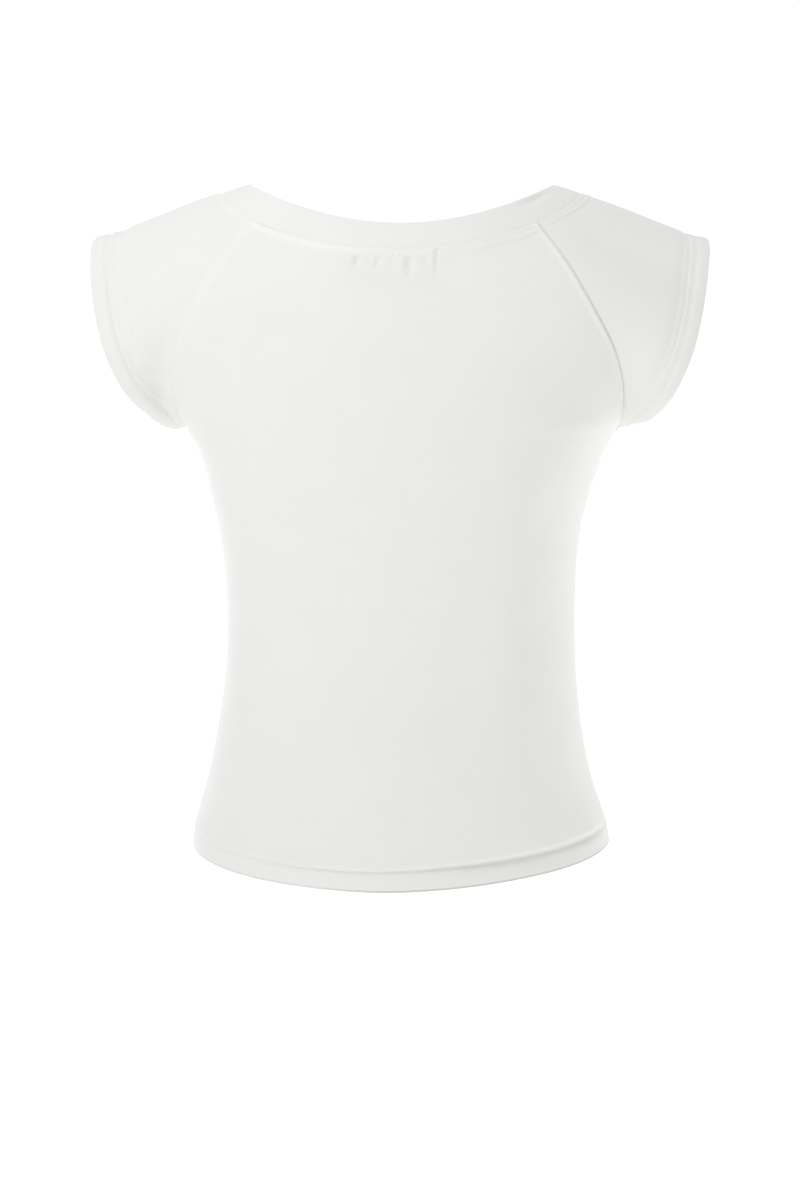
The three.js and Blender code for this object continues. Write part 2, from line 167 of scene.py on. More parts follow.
def ramp(x, low, high):
    """0 below low, 1 above high, and the cubic 3f^2 - 2f^3 between."""
    f = np.clip((x - low) / (high - low), 0, 1)
    return f * f * (3 - 2 * f)


def bell(x, middle, width):
    """exp(-((x - middle) / width)^2): 1 in the middle, falling softly over a width."""
    return np.exp(-(((x - middle) / width) ** 2))


def smooth(rows, along, column, at):
    """A column's value at places between a table's rows: cubics through the rows, each left with the mean
    of the two slopes beside it, the nearer one counting more."""
    x, y = rows[along], rows[column]
    if x[-1] < x[0]:
        x, y = x[::-1], y[::-1]
    run = np.diff(x)
    slope = np.diff(y) / run
    inner = (slope[:-1] * run[1:] + slope[1:] * run[:-1]) / (run[:-1] + run[1:])
    tangent = np.concatenate([slope[:1], inner, slope[-1:]])
    i = np.clip(np.searchsorted(x, at, side="right") - 1, 0, len(x) - 2)
    f = (at - x[i]) / run[i]
    g = 1 - f
    ends = g * g * (1 + 2 * f) * y[i] + f * f * (3 - 2 * f) * y[i + 1]
    return ends + run[i] * (f * g * g * tangent[i] - f * f * g * tangent[i + 1])


def xyz(x, y, z):
    """Points from their three coordinates."""
    return np.stack(np.broadcast_arrays(x, y, z), axis=-1)


def unit(v):
    """Directions, at length 1."""
    return v / np.maximum(np.linalg.norm(v, axis=-1, keepdims=True), 1e-12)


def nearest(values, at):
    """Which of some values is nearest to one."""
    return int(np.argmin(np.abs(values - at)))


def running_length(points, axis):
    """Length travelled along a grid of points from its start, along one of its axes."""
    step = np.linalg.norm(np.diff(points, axis=axis), axis=-1)
    start = np.zeros_like(np.take(step, [0], axis=axis))
    return np.concatenate([start, np.cumsum(step, axis=axis)], axis=axis)


def whole(line, closed):
    """A line of a grid, with its first point again at its end where the grid is a ring."""
    return np.concatenate([line, line[:1]]) if closed else line


def grid_normals(points, closed):
    """Outward normals of a grid: its columns' direction crossed with its rows' direction."""
    if closed:
        along = np.roll(points, -1, axis=1) - np.roll(points, 1, axis=1)
    else:
        along = np.gradient(points, axis=1)
    return unit(np.cross(along, np.gradient(points, axis=0)))


# -------------------------------------------- the cut's form
def neck_point(oval, angle):
    """A neck oval: x = half_width cos a, y = depth sin a, dropping by drop |sin a|^power, with the back's
    numbers where sin a is positive and the front's elsewhere. It is worn a little aslant, which lifts it by
    slant cos a |sin a|. 0 is the wearer's left shoulder."""
    out = np.sin(angle)
    depth = np.abs(out)
    back_drop = oval["back_drop"] * depth ** oval["back_power"]
    front_drop = oval["front_drop"] * depth ** oval["front_power"]
    drop = np.where(out >= 0, back_drop, front_drop)
    y = np.where(out >= 0, oval["back"], oval["front"]) * out
    slant = oval["slant"] * np.cos(angle) * depth
    return xyz(oval["half_width"] * np.cos(angle), y, oval["shoulder_z"] - drop + slant)


def raglan_angle(side):
    """The angle on the neck seam's oval at which a raglan seam starts: acos(x / half_width)."""
    return np.arccos(RAGLAN_TOP[side] / NECK_SEAM["half_width"])


def yoke_table(side):
    """The yoke's rows, with the neck seam, worked out from its oval, as the first."""
    edge = neck_point(NECK_SEAM, side * raglan_angle(side))
    mid = neck_point(NECK_SEAM, side * np.pi / 2)
    neck_row = (0, edge[0], abs(edge[1]), edge[2], abs(mid[1]), mid[2], 2, edge[1] / mid[1])
    return table(YOKE_COLUMNS, neck_row, *YOKE_ROWS[side])


YOKE = {side: yoke_table(side) for side in (BACK, FRONT)}


def section(side, down):
    """The section of a panel at places down it: 0 to 1 from the neck seam to the underarm, 1 to 2 on to the
    hem."""
    t, share = np.clip(down, 0, 1), np.clip(down - 1, 0, 1)
    z = mix(UNDERARM_Z, HEM_Z, share)
    yoke = {column: smooth(YOKE[side], "t", column, t) for column in YOKE_COLUMNS[1:]}
    underarm_dip = YOKE[side]["edge_z"][-1] - YOKE[side]["mid_z"][-1]
    torso = dict(
        edge_x=smooth(TORSO, "z", "half", z),
        edge_y=0 * z,
        edge_z=z,
        mid_y=smooth(TORSO, "z", "back" if side == BACK else "front", z),
        mid_z=z - mix(underarm_dip, HEM_DIP[side], share),
        square=smooth(TORSO, "z", "square", z),
        cut=0 * z,
    )
    row = {column: np.where(down <= 1, yoke[column], torso[column]) for column in torso}
    neck_power = NECK_SEAM["back_power" if side == BACK else "front_power"]
    return row | dict(power=mix(neck_power, 1, t), lift=HEM_LIFT["height"] * share**2)


def panel_points(side, down, across):
    """A body panel. Each row is the part above its cut of a superellipse |x|^n + k^n = 1, spread between
    its edge and its middle; across, from -1 to 1, is a share of the angle asin(reach) it turns to. The
    wearer's right of the hem is lifted a little, its side trimmed by deep exp(-(dz / long)^2), and the back
    tucked in by a share of its depth that grows with the square of the way from top to hem. Last, the panel
    hangs over by SWAY's x, and is tipped by tip sin(pi x / half_wave)."""
    row = {name: value[:, None] for name, value in section(side, down).items()}
    square, cut, power = row["square"], row["cut"], row["power"]
    reach = (1 - cut**square) ** (1 / square)
    s = np.sin(across * np.arcsin(reach))
    k = np.maximum(0, 1 - np.abs(s) ** square) ** (1 / square)
    drop = (k**power - cut**power) / (1 - cut**power)
    x = side * row["edge_x"] * s / reach
    y = side * mix(row["edge_y"], row["mid_y"], (k - cut) / (1 - cut))
    z = mix(row["edge_z"], row["mid_z"], drop)
    trim = HIP_TRIM["deep"] * bell(z, HIP_TRIM["z"], HIP_TRIM["long"])
    trim = trim * ramp(-x, HIP_TRIM["x0"], HIP_TRIM["x1"])
    if side == BACK:
        way = np.clip((HEM_TUCK["top"] - z) / (HEM_TUCK["top"] - HEM_Z), 0, 1)
        y = y * (1 - HEM_TUCK["share"] * way**2 * ramp(-x, -HEM_TUCK["x0"], -HEM_TUCK["x1"]))
    held = np.clip(z, SWAY["z"][-1], SWAY["z"][0])
    sway, tip = (smooth(SWAY, "z", column, held) for column in ("x", "tip"))
    tip = tip * np.sin(x * np.pi / HEM_TIP["half_wave"])
    tip = tip * mix(1, HEM_TIP["right"], ramp(-x, 0, HEM_TIP["run"]))
    lift = row["lift"] * ramp(-x, -HEM_LIFT["run"], HEM_LIFT["run"])
    return xyz(x + trim + sway, y, z + lift + tip)


def even_across(side, down, columns, crowding):
    """Values of across that put the columns at the same shares of every row's length, closer together at
    the edges: the shares are u - crowding sin(2 pi u) / 2 pi."""
    guess = np.linspace(-1, 1, 161)
    length = running_length(panel_points(side, down, guess[None, :]), 1)
    u = np.linspace(0, 1, columns)
    want = u - crowding * np.sin(2 * np.pi * u) / (2 * np.pi)
    return np.stack([np.interp(want * row[-1], row, guess) for row in length])


def raglan_edge(side, t):
    """A panel's edge along the wearer's left raglan seam, and the panel's normal there."""
    step_across, step_down = 1 / 12, 0.1
    edge = side * np.ones((len(t), 1))
    at = panel_points(side, t, edge)[:, 0]
    inner = panel_points(side, t, edge * (1 - step_across))[:, 0]
    above = panel_points(side, np.maximum(t - step_down, 0), edge)[:, 0]
    below = panel_points(side, np.minimum(t + step_down, 1), edge)[:, 0]
    return at, unit(np.cross(side * (at - inner), below - above))


def cuff_point(share, side):
    """Places on the left sleeve's opening. The front half is the back's with y times -CUFF_FRONT."""
    x, y, z = (smooth(CUFF, "share", column, share) for column in ("x", "y", "z"))
    return xyz(x, y * (1 if side == BACK else -CUFF_FRONT), z)


def sleeve_lines(side, share):
    """For places round one half of the sleeve, from the underarm (0) to the shoulder (1): where its cloth
    starts on the raglan or neck seam, where it ends on the opening, and the body's normal at the raglan
    seam's nearest point."""
    on_raglan = share <= RAGLAN_SHARE
    at, body = raglan_edge(side, np.clip(1 - share / RAGLAN_SHARE, 0, 1))
    to_shoulder = np.clip((1 - share) / (1 - RAGLAN_SHARE), 0, 1)
    ridge = neck_point(NECK_SEAM, side * to_shoulder * raglan_angle(side))
    start = np.where(on_raglan[:, None], at, ridge)
    return start, cuff_point(share, side), body


def sleeve_points(lines, share, v):
    """The wearer's left sleeve. Each line is a cubic from seam to opening, at shares v of the way:
    straight, less away v (1 - v)^2 along the body's normal, so that it sets out along the body. It then
    stands out by 4 full v (1 - v) and dips by 6.75 hollow v^2 (1 - v) along its own normal."""
    start, end, body = lines
    straight = end - start
    away = np.sum(straight * body, axis=-1) * smooth(SLEEVE_RUN, "share", "follow", share)
    plain = start + v[..., None] * straight - (away * v * (1 - v) ** 2)[..., None] * body
    out = smooth(SLEEVE_RUN, "share", "full", share) * 4 * v * (1 - v)
    out = out - smooth(SLEEVE_RUN, "share", "hollow", share) * 6.75 * v * v * (1 - v)
    return plain + out[..., None] * grid_normals(plain, True)


# --------------------------------------------- making a mesh
INNER_STEP = 4  # the inner face of a wall has every fourth row and column of the outer one


def mesh_object(name, points, faces, face_uv, material, marks=None):
    """A smooth-shaded object from points in millimetres, corner lists of faces, and a place on the flat
    cloth, in millimetres, for every corner. marks are named values at the points, for the material to
    read."""
    mesh = bpy.data.meshes.new(name)
    mesh.from_pydata((points * MM).tolist(), [], [face for block in faces for face in block.tolist()])
    layer = mesh.uv_layers.new(name="cloth")
    corners = np.concatenate([block.reshape(-1, 2) for block in face_uv]) * MM
    layer.data.foreach_set("uv", corners.astype(np.float32).ravel())
    for mark, values in (marks or {}).items():
        attribute = mesh.attributes.new(mark, "FLOAT", "POINT")
        attribute.data.foreach_set("value", values.astype(np.float32).ravel())
    mesh.polygons.foreach_set("use_smooth", np.ones(len(mesh.polygons), bool))
    mesh.materials.append(material)
    piece = bpy.data.objects.new(name, mesh)
    bpy.context.scene.collection.objects.link(piece)
    return piece


def grid_faces(numbers, closed):
    """Four-sided faces of a grid of point numbers, turned outward, and the grid places of their corners."""
    rows, columns = numbers.shape
    i, j = np.meshgrid(np.arange(rows - 1), np.arange(columns if closed else columns - 1), indexing="ij")
    i, j = i.ravel(), j.ravel()
    places = np.stack([np.stack(corner) for corner in ((i, j), (i, j + 1), (i + 1, j + 1), (i + 1, j))])
    return numbers[places[:, 0], places[:, 1] % columns].T, places.transpose(2, 0, 1)


def rim_faces(outer, inner):
    """Triangles between an outer rim and an inner one with one point for every INNER_STEP of the outer
    one's: the first half of each stretch meets the nearer inner point, the second half the next one."""
    half = INNER_STEP // 2
    k = np.arange(len(inner) - 1)
    fans = [
        np.stack([outer[k * INNER_STEP + n + 1], outer[k * INNER_STEP + n], inner[k + (n >= half)]], axis=1)
        for n in range(INNER_STEP)
    ]
    return np.concatenate([*fans, np.stack([outer[k * INNER_STEP + half], inner[k], inner[k + 1]], axis=1)])


def cloth_wall(name, outer, inner, flat, material, closed=False, marks=None):
    """A closed wall of cloth: an outer grid, an inner one with every INNER_STEP-th row and column, and
    rims. flat is each outer point's place on the flat cloth; on a ring it has one more column than the
    grid."""
    rows, columns = outer.shape[:2]
    pick = np.arange(0, rows, INNER_STEP), np.arange(0, columns, INNER_STEP)
    inner = inner[np.ix_(*pick)]
    outside = np.arange(rows * columns).reshape(rows, columns)
    inside = rows * columns + np.arange(inner.shape[0] * inner.shape[1]).reshape(inner.shape[:2])
    outer_faces, outer_places = grid_faces(outside, closed)
    inner_faces, inner_places = grid_faces(inside, closed)
    rims = [
        rim_faces(whole(outside[0], closed), whole(inside[0], closed)),
        rim_faces(whole(outside[-1], closed)[::-1], whole(inside[-1], closed)[::-1]),
    ]
    if not closed:
        rims.append(rim_faces(outside[:, -1], inside[:, -1]))
        rims.append(rim_faces(outside[:, 0][::-1], inside[:, 0][::-1]))
    rims = np.concatenate(rims)
    point_flat = np.concatenate([flat[:, :columns].reshape(-1, 2), flat[np.ix_(*pick)].reshape(-1, 2)])
    inner_flat = flat[::INNER_STEP, ::INNER_STEP]
    face_uv = [
        flat[outer_places[:, :, 0], outer_places[:, :, 1]],
        inner_flat[inner_places[:, :, 0], inner_places[:, :, 1]][:, ::-1],
        point_flat[rims],
    ]
    points = np.concatenate([outer.reshape(-1, 3), inner.reshape(-1, 3)])
    if marks:
        marks = {
            mark: np.concatenate([values.ravel(), values[np.ix_(*pick)].ravel()])
            for mark, values in marks.items()
        }
    return mesh_object(name, points, [outer_faces, inner_faces[:, ::-1], rims], face_uv, material, marks)


def edge_heights(needles, top):
    """Heights above a hem's edge for its rows of points: close together where its fold turns, then about
    0.75 mm apart, with a row exactly on each line of stitches."""
    fold = (0, 0.04, 0.14, 0.3, 0.55, 0.9, 1.35, 1.9, 2.6)
    marks = (fold[-1], *needles, top)
    runs = [np.linspace(a, b, int(round((b - a) / 0.75)) + 1)[1:] for a, b in zip(marks, marks[1:])]
    return np.concatenate([fold, *runs])


# ----------------------------------------- seams and creases
def hem_relief(height, line, step, spread, groove, fall):
    """How the turned-up bottom hem looks: a band that is a little fuller in its middle, a groove along the
    line, and above it the cloth stepping out by step over 3.4 spread, then going back softly until fall
    above the needle's line."""
    band = 0.3 * ramp(height, 0, 3) * (1 - ramp(height, NEEDLE - 4, NEEDLE))
    top = line + 2.6 * spread
    swell = ramp(height, line - 0.8 * spread, top) * (1 - ramp(height, top, NEEDLE + fall))
    return band + step * swell - groove * bell(height, line - 0.3, 1.3)


def cuff_relief(to_edge, needle, raw, pressed, drawn, hollow):
    """How a sleeve's hem looks: a raised band, a soft groove as deep as it is pressed along the needle's
    line, a fine ridge over the raw edge inside it, and a trough as deep as hollow where the sleeve is drawn
    in."""
    band = 0.3 * ramp(to_edge, 0, 3) * (1 - ramp(to_edge, needle - 3.5, needle))
    groove = bell(to_edge, needle + 0.3, 1.8)
    ridge = 0.3 * bell(to_edge, raw, 1.3)
    return band + pressed * (ridge - groove) - hollow * bell(to_edge, drawn, 4.6)


def fold_round(height, radius):
    """How much nearer the middle of a folded edge its faces come, on a half circle of that radius."""
    f = np.clip(height / radius, 0, 1)
    return radius * (1 - np.sqrt(np.maximum(0, 1 - (1 - f) ** 2)))


def raglan_relief(distance, height, start, rise, fall):
    """The body's side of a raglan seam, raised by the allowance pressed under it: it comes up from start to
    rise and falls away softly by fall."""
    return height * ramp(distance, start, rise) * (1 - ramp(distance, rise, fall))


NECK_STITCH = 7.3  # the lower edge of the flat seam under the neckband, from the seam


def neck_relief(distance, sharp):
    """Below the neckband the cloth comes up from the seam over its allowance. Where sharp is 0 it then
    falls away softly; where sharp is 1 the allowance shows as a flat strip between two fine ridges."""
    soft = 1.1 * ramp(distance, -0.2, 5.5) * (1 - ramp(distance, NECK_STITCH, 42))
    strip = 0.4 * ramp(distance, -0.2, 2) * (1 - ramp(distance, NECK_STITCH - 0.5, NECK_STITCH + 2))
    ridges = 0.32 * bell(distance, 1.9, 1.3) + 0.38 * bell(distance, NECK_STITCH - 0.7, 1.5)
    return mix(soft, strip + ridges, sharp)


def crease_relief(x, z, creases):
    """Soft troughs and ridges along straight lines in the plane of x and z: height times (1 - 0.7 q^2)
    exp(-0.7 q^2), q being the distance from the line over its width, fading out along the line's two
    ends."""
    total = 0 * x
    for x0, z0, x1, z1, width, height in zip(*creases.values()):
        run = np.hypot(x1 - x0, z1 - z0)
        along = ((x - x0) * (x1 - x0) + (z - z0) * (z1 - z0)) / run
        aside = ((x - x0) * (z1 - z0) - (z - z0) * (x1 - x0)) / run
        fade = ramp(along, -0.25 * run, 0.35 * run) * (1 - ramp(along, 0.65 * run, 1.25 * run))
        q = (aside / width) ** 2
        total = total + height * fade * (1 - 0.7 * q) * np.exp(-0.7 * q)
    return total


CREASE_COLUMNS = ("x0", "z0", "x1", "z1", "width", "height")
BACK_CREASES = table(
    CREASE_COLUMNS,
    (-128, -196, -70, -262, 13, -0.5),
    (-120, -228, -52, -300, 15, -0.45),
    (126, -200, 76, -250, 14, -0.4),
    (118, -236, 60, -312, 16, -0.35),
    (-8, -205, -14, -330, 22, -0.5),
    (-118, -352, -84, -440, 14, -0.5),
    (112, -372, 90, -446, 15, -0.35),
    (-60, -372, -48, -452, 16, -0.35),
    (34, -398, 30, -462, 15, -0.3),
    (-90, -190, -86, -400, 28, 3.0),
)
FRONT_CREASES = table(
    CREASE_COLUMNS,
    (-138, -188, -66, -222, 10, -0.9),
    (134, -186, 72, -232, 11, -0.8),
    (-124, -232, -62, -292, 14, -0.7),
    (120, -240, 58, -300, 13, -0.6),
    (-6, -268, 4, -392, 20, -0.6),
    (-110, -356, -72, -446, 15, -0.6),
    (108, -348, 84, -452, 14, -0.7),
    (-40, -398, -30, -462, 13, -0.4),
    (44, -384, 38, -458, 16, -0.5),
)


def unevenness(x, z, seed, height):
    """The slight unevenness of hanging cloth: the sum of five waves 70 to 170 mm long in seeded
    directions."""
    chance = np.random.default_rng(seed)
    total = 0 * x
    for _ in range(5):
        turn, phase, long = chance.uniform(0, np.pi), chance.uniform(0, 2 * np.pi), chance.uniform(70, 170)
        total = total + np.sin(2 * np.pi * (x * np.cos(turn) + z * np.sin(turn)) / long + phase)
    return height * total / 5


# Small gathers under the back neck seam, where the label is sewn in: where each starts below the seam, its
# place along x, lean, width, length and depth, and how much narrower its side to the wearer's right is.
PUCKERS = table(
    ("start", "x", "lean", "wide", "long", "deep", "steep"),
    (7, 22.2, 0.3, 2.3, 11, 1.5, 1),
    (7, 14.6, -0.1, 1.9, 7, 0.7, 1),
    (7, 8.8, 0.05, 2.3, 10, 1.4, 1),
    (7, -0.9, 0, 1.5, 5, 0.9, 1),
    (7, -5.2, 0, 1.6, 5, 0.5, 1),
    (7, -12.6, -0.05, 3.2, 14, 1.8, 1),
    (7, -23.4, -0.1, 3.0, 6, 0.8, 1),
    (1.5, -31.6, 0, 2.0, 21, 1.1, 0.5),
)


def pucker_relief(x, below):
    """Each gather is a narrow trough, deep exp(-(dx / wide)^2), that starts at its seam, is deepest 2 mm
    below it and fades over its length, with a low ridge to the wearer's left. steep narrows its other
    side."""
    total = 0 * x
    for start, at, lean, wide, long, deep, steep in zip(*PUCKERS.values()):
        down = np.maximum(0, below - start)
        aside = x - at - lean * down
        fade = ramp(below - start, -1.5, 2.5) * (1 - ramp(down, 0.35 * long, 1.15 * long))
        trough = bell(aside, 0, np.where(aside > 0, 1, steep) * wide)
        total = total + fade * deep * (0.4 * bell(aside, 1.8 * wide, 1.3 * wide) - trough)
    return total


# --------------------------------------------- the materials
def new_material(name, **values):
    """A material of one surface shader, its named inputs set. Returns the material, its tree and the
    shader."""
    material = bpy.data.materials.new(name)
    material.use_nodes = True
    surface = material.node_tree.nodes["Principled BSDF"]
    for socket, value in values.items():
        surface.inputs[socket.replace("_", " ")].default_value = value
    return material, material.node_tree, surface


def add(tree, kind, **inputs):
    """A node of a kind, with its named inputs set to a value or linked from a socket."""
    node = tree.nodes.new(kind)
    for name, value in inputs.items():
        socket = node.inputs[int(name[1:])] if name[0] == "_" else node.inputs[name.replace("_", " ")]
        if isinstance(value, bpy.types.NodeSocket):
            tree.links.new(value, socket)
        else:
            socket.default_value = value
    return node


def calculate(tree, operation, a, b=0.0, c=0.0):
    """The result of a sum on sockets or numbers."""
    node = add(tree, "ShaderNodeMath", _0=a, _1=b, _2=c)
    node.operation = operation
    return node.outputs[0]


def flat_place(tree):
    """The place on the flat cloth: the whole vector, and its parts along and up the cloth."""
    place = add(tree, "ShaderNodeUVMap")
    place.uv_map = "cloth"
    split = add(tree, "ShaderNodeSeparateXYZ", Vector=place.outputs["UV"])
    return place.outputs["UV"], split.outputs["X"], split.outputs["Y"]


def mark(tree, name):
    """The values left at the mesh's points under a name."""
    node = add(tree, "ShaderNodeAttribute")
    node.attribute_name = name
    return node.outputs["Fac"]


def tint(tree, surface, colour, tone):
    """Give a surface its colour times tone, and leave the plain colour on its socket."""
    surface.inputs["Base Color"].default_value = (*colour, 1)
    tinted = add(tree, "ShaderNodeMix", _0=1.0, _6=(*colour, 1))
    tinted.data_type = "RGBA"
    tinted.blend_type = "MULTIPLY"
    grey = add(tree, "ShaderNodeCombineColor", _0=tone, _1=tone, _2=tone)
    tree.links.new(grey.outputs[0], tinted.inputs[7])
    tree.links.new(tinted.outputs[2], surface.inputs["Base Color"])


WALE, COURSE = 0.85, 0.65  # width of a knit loop and height of a row of them
GATHER = 3.1  # from one stitch to the next
SHADE = 0.4  # how much darker the mark named shade makes the cloth: the mark paints shade, and paints light where it is below 0
LABEL_PAINTED_SHADE = 0.014  # painted shade: how much darker the cloth is over the label
LABEL_TOP, LABEL_BOTTOM = -44, -70


def knit_height(tree):
    """Jersey's face: rows of V-shaped loops. The height is 0.35 cos(2 pi (v + 0.9 t)) + cos(pi t), where t
    goes from 0 in the middle of a wale to 0.5 between two."""
    _, along, up = flat_place(tree)
    u = calculate(tree, "MULTIPLY", along, 1 / (WALE * MM))
    v = calculate(tree, "MULTIPLY", up, 1 / (COURSE * MM))
    t = calculate(tree, "PINGPONG", u, 0.5)
    lean = calculate(tree, "MULTIPLY_ADD", t, 0.9, v)
    legs = calculate(tree, "COSINE", calculate(tree, "MULTIPLY", lean, 2 * np.pi))
    rib = calculate(tree, "COSINE", calculate(tree, "MULTIPLY", t, np.pi))
    return calculate(tree, "ADD", calculate(tree, "MULTIPLY", legs, 0.35), rib)


def mottle(tree, scale, detail, low, high):
    """Noise on Object coordinates, spread between two values."""
    place = add(tree, "ShaderNodeTexCoord").outputs["Object"]
    noise = add(tree, "ShaderNodeTexNoise", Vector=place, Scale=scale, Detail=detail, Roughness=0.6)
    spread = add(tree, "ShaderNodeMapRange", _1=0.3, _2=0.7, _3=low, _4=high)
    tree.links.new(noise.outputs["Fac"], spread.inputs[0])
    return spread.outputs[0]


def gather_height(tree):
    """Cloth drawn up between stitches: the mark named gather times cos(2 pi u / GATHER) along the seam."""
    _, along, _ = flat_place(tree)
    wave = calculate(tree, "COSINE", calculate(tree, "MULTIPLY", along, 2 * np.pi / (GATHER * MM)))
    return calculate(tree, "MULTIPLY", wave, mark(tree, "gather"))


def jersey(name, colour, shadow=None):
    """White cotton jersey: knit loops and a trace of fuzz in the bump, cloth slightly gathered at the
    marked stitches, a faint unevenness of tone, painted shade and painted light where the mark named
    shade says, and a soft sheen. shadow makes a socket that darkens the colour with painted shade."""
    material, tree, cloth = new_material(
        name,
        Roughness=0.88,
        Specular_IOR_Level=0.25,
        Sheen_Weight=0.4,
        Sheen_Roughness=0.35,
        Sheen_Tint=(0.95, 0.95, 1, 1),
    )
    # painted shade and painted light from the mark named shade, over a random unevenness of tone
    tone = calculate(tree, "MULTIPLY_ADD", mark(tree, "shade"), -SHADE, mottle(tree, 26, 3, 0.985, 1.0))
    if shadow:
        tone = calculate(tree, "MULTIPLY", tone, shadow(tree))
    tint(tree, cloth, colour, tone)
    loops = calculate(tree, "ADD", knit_height(tree), mottle(tree, 2600, 2, -0.25, 0.25))
    fine = add(tree, "ShaderNodeBump", Strength=0.5, Distance=0.05 * MM, Height=loops)
    tucks = add(tree, "ShaderNodeBump", Strength=0.6, Distance=0.25 * MM, Height=gather_height(tree))
    tree.links.new(fine.outputs[0], tucks.inputs["Normal"])
    tree.links.new(tucks.outputs[0], cloth.inputs["Normal"])
    return material


def label_shadow(tree):
    """Painted shade where the label lies behind the thin cloth: a patch a shade darker, with soft edges,
    a product of three ramps of the Object coordinates, of |x| and of z at its bottom and top."""
    place = add(tree, "ShaderNodeTexCoord").outputs["Object"]
    split = add(tree, "ShaderNodeSeparateXYZ", Vector=place)
    half, soft = LABEL["width"] / 2 * MM, 5 * MM
    top, bottom = LABEL_TOP * MM, LABEL_BOTTOM * MM
    aside = calculate(tree, "ABSOLUTE", split.outputs["X"])
    inside = 1.0
    for socket, low, high, from_value, to_value in (
        (aside, half - soft, half + soft, 1.0, 0.0),
        (split.outputs["Z"], bottom - soft, bottom + soft, 0.0, 1.0),
        (split.outputs["Z"], top - soft, top + soft, 1.0, 0.0),
    ):
        edge = add(tree, "ShaderNodeMapRange", _0=socket, _1=low, _2=high, _3=from_value, _4=to_value)
        inside = calculate(tree, "MULTIPLY", edge.outputs[0], inside)
    return calculate(tree, "MULTIPLY_ADD", inside, -LABEL_PAINTED_SHADE, 1.0)


def thread(name, colour):
    """Spun sewing thread: a slight gloss and a twist in the bump, made of waves across the stitch."""
    material, tree, yarn = new_material(name, Roughness=0.6, Sheen_Weight=0.15)
    place, _, _ = flat_place(tree)
    twist = add(tree, "ShaderNodeTexWave", Vector=place, Scale=900.0, Distortion=0.4)
    twist.bands_direction = "DIAGONAL"
    wave = twist.outputs["Fac"]
    tone = add(tree, "ShaderNodeMapRange", _0=wave, _1=0.0, _2=1.0, _3=0.93, _4=1.0)
    tint(tree, yarn, colour, tone.outputs[0])
    ridges = add(tree, "ShaderNodeBump", Strength=0.5, Distance=0.05 * MM, Height=wave)
    tree.links.new(ridges.outputs[0], yarn.inputs["Normal"])
    return material


def satin_tape(name, colour):
    """Woven label tape: fine ribs across it, a smooth sheen and a faint unevenness of tone."""
    material, tree, tape = new_material(name, Roughness=0.5, Sheen_Weight=0.3, Specular_IOR_Level=0.4)
    _, along, up = flat_place(tree)
    weft = calculate(tree, "SINE", calculate(tree, "MULTIPLY", up, 2 * np.pi / (0.45 * MM)))
    warp = calculate(tree, "SINE", calculate(tree, "MULTIPLY", along, 2 * np.pi / (0.22 * MM)))
    weave = calculate(tree, "MULTIPLY_ADD", warp, 0.4, weft)
    tint(tree, tape, colour, calculate(tree, "MULTIPLY_ADD", weave, 0.02, mottle(tree, 60, 2, 0.96, 0.98)))
    ribs = add(tree, "ShaderNodeBump", Strength=0.5, Distance=0.06 * MM, Height=weave)
    tree.links.new(ribs.outputs[0], tape.inputs["Normal"])
    return material


WHITE = (0.845, 0.845, 0.816)
JERSEY = jersey("white_jersey", WHITE)
# the back's jersey, with painted shade over the label
BACK_JERSEY = jersey("white_jersey_with_painted_label_shade", WHITE, label_shadow)
THREAD = thread("white_sewing_thread", (0.88, 0.885, 0.875))
BRIGHT_THREAD = thread("bright_white_thread", (0.96, 0.965, 0.955))
TAPE = satin_tape("blank_satin_tape", (0.8, 0.81, 0.84))


# ------------------------------------------------ the pieces
PANEL_COLUMNS, SLEEVE_COLUMNS, BAND_COLUMNS = 321, 360, 560
PANEL_ROWS, SLEEVE_ROWS = 281, 101
RAGLAN_LIFT = dict(  # how the raglan allowance lifts a panel's edge, on the wearer's right and on the left
    share=(0.95, 0.85),
    start=(-0.4, -6),
    rise=(1.3, 0.5),
    fall=(5.5, 30),
)
BACK_HEM = dict(step=(1.2, 3.4), spread=(1, 2), fall=(13, 38))  # on the wearer's left and on the right
FRONT_HEM = dict(step=1.1, spread=1, fall=12)
HEM_RISE = 2.4  # how much higher the back hem's line lies on the right
TURN_SHADE = 0.35, 0.8  # painted shade, by the mark named shade, on the hem's turned edge, on the left and on the right
LINE_SHADE = 0.13, 0.48  # the same painted shade on the hem's line
DOUBLED_CLOTH_PAINTED_LIGHT = 0.13  # painted light: how much that mark falls, making the cloth lighter, where the allowance doubles the cloth
SLEEVE_PAINTED_LIGHT = 0.055, 0.11  # the same painted light on a sleeve, beside the raglan seam and the neck seam
CUFF_SHADE, SEAM_SHADE = 0.16, 0.28  # painted shade by the mark on the left cuff's line, and painted shadow beside the right raglan seam
HEM_GATHER, SEAM_GATHER = 0.35, 0.15  # how much the cloth is drawn up along hems and seams
CROWDING = 0.45  # how much closer together a panel's columns are at its edges


def panel_rows():
    """Places down a panel for its rows, closer together at the neck seam and at the hem, whose rows lie at
    set heights above the edge."""
    yoke = np.concatenate([np.linspace(0, 0.08, 24)[:-1], 0.08 + 0.92 * np.linspace(0, 1, 82) ** 1.25])
    hem = edge_heights((NEEDLE, HEM_DEEP), 26)
    depth = UNDERARM_Z - HEM_Z
    torso = np.linspace(depth, hem[-1], PANEL_ROWS + 2 - len(yoke) - len(hem))[1:-1]
    heights = np.concatenate([torso, hem[::-1]])
    return np.concatenate([yoke, 2 - heights / depth]), np.concatenate([0 * yoke + depth, heights])


